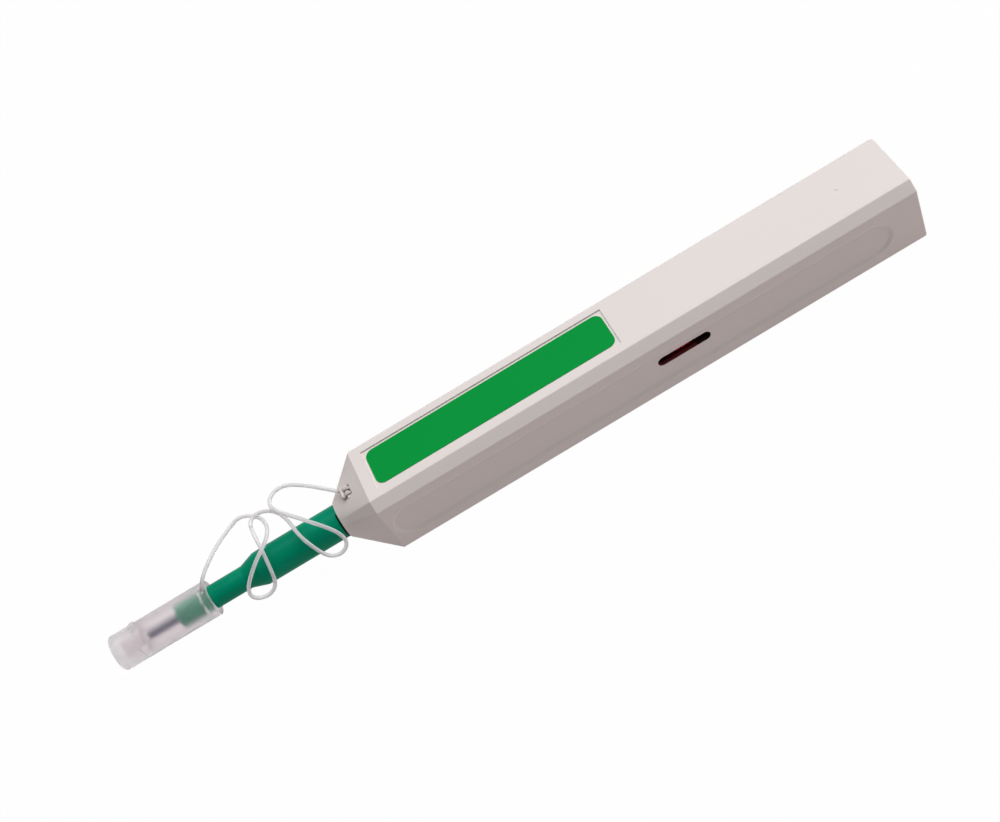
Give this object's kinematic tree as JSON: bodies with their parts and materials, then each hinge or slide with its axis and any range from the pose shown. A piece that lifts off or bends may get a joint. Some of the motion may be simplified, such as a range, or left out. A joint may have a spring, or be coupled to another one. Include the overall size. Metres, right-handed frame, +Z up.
{
  "type": "fibre connector cleaning pen",
  "caption": "Push-to-clean pen for fibre connector ferrules: square casing, green nozzle with a sprung thread tip, tethered clear guide cap with a flip lid.",
  "frame": {"origin": "under the middle of the overall length with the cap on, on the flat underside", "axes": "+X from the tip towards the tail, +Z up through the label face, -Y the side with the dial slot"},
  "size_m": [0.23, 0.0224, 0.023],
  "materials": {
    "casing_plastic": "fine matt moulded",
    "label_green": "printed film",
    "nozzle_green": "satin moulded",
    "cap_clear": "frosted clear",
    "tether_clear": "clear line",
    "tip_blue": "satin dark blue grey",
    "frame_plastic": "moulded",
    "reel_red": "satin moulded",
    "steel": "bright",
    "thread": "woven microfibre"
  },
  "bodies": {
    "casing": {"casing_shell": "casing_plastic", "casing_cover": "casing_plastic", "label": "label_green", "cam_pin": "steel", "feed_rack": "frame_plastic", "return_spring": "steel", "tether": "tether_clear", "tether_knot": "tether_clear"},
    "carriage": {"nozzle_tube": "nozzle_green", "carriage_base": "frame_plastic", "carriage_plate": "frame_plastic", "supply_axle": "steel", "takeup_axle": "steel", "shaft_bush": "frame_plastic", "thread_pins": "steel", "supply_thread_run": "thread", "used_thread_run": "thread"},
    "tip_shaft": {"tip_shaft": "tip_blue", "thread_loop": "thread", "tip_spring": "steel"},
    "cleaning_tip": {"cleaning_tip": "tip_blue"},
    "drive_pinion": {"drive_pinion": "frame_plastic"},
    "takeup_reel": {"takeup_reel": "reel_red", "clutch_pawls": "frame_plastic", "used_thread": "thread"},
    "supply_reel": {"supply_reel": "frame_plastic", "supply_thread": "thread"},
    "guide_cap": {"guide_cap": "cap_clear", "lid_strap": "cap_clear"},
    "cap_lid": {"cap_lid": "cap_clear"}
  },
  "joints": [
    {"name": "push_stroke", "type": "slide", "parent": "casing", "child": "carriage", "axis": [1, 0, 0], "range_m": [0, 0.012], "stiffness_N_per_m": 150, "springref_m": -0.012, "deforming": ["return_spring", "tether"]},
    {"name": "tip_turn", "type": "hinge", "parent": "carriage", "child": "tip_shaft", "pos_m": [-0.02, 0, 0.011], "axis": [1, 0, 0], "range_deg": [0, 180.01]},
    {"name": "tip_press", "type": "slide", "parent": "tip_shaft", "child": "cleaning_tip", "axis": [1, 0, 0], "range_m": [0, 0.0008], "stiffness_N_per_m": 200, "springref_m": -0.001, "deforming": ["tip_spring"]},
    {"name": "pinion_turn", "type": "hinge", "parent": "carriage", "child": "drive_pinion", "pos_m": [0.0477, 0, 0.006], "axis": [0, 0, 1], "range_deg": [0, 114.6]},
    {"name": "takeup_turn", "type": "hinge", "parent": "carriage", "child": "takeup_reel", "pos_m": [0.0477, 0, 0.01], "axis": [0, 0, 1], "continuous": true},
    {"name": "supply_turn", "type": "hinge", "parent": "carriage", "child": "supply_reel", "pos_m": [0.0205, 0, 0.015], "axis": [0, 0, 1], "continuous": true},
    {"name": "cap_pull", "type": "slide", "parent": "carriage", "child": "guide_cap", "axis": [-1, 0, 0], "range_m": [0, 0.03]},
    {"name": "lid_flip", "type": "hinge", "parent": "guide_cap", "child": "cap_lid", "pos_m": [-0.108, 0.00257, 0.01545], "axis": [0, 0.866, -0.5], "range_deg": [0, 120], "deforming": ["lid_strap"]}
  ],
  "couplings": [
    {"joint": "tip_turn", "follows": "push_stroke", "rad_per_m": 261.8},
    {"joint": "pinion_turn", "follows": "push_stroke", "rad_per_m": 166.67}
  ]
}
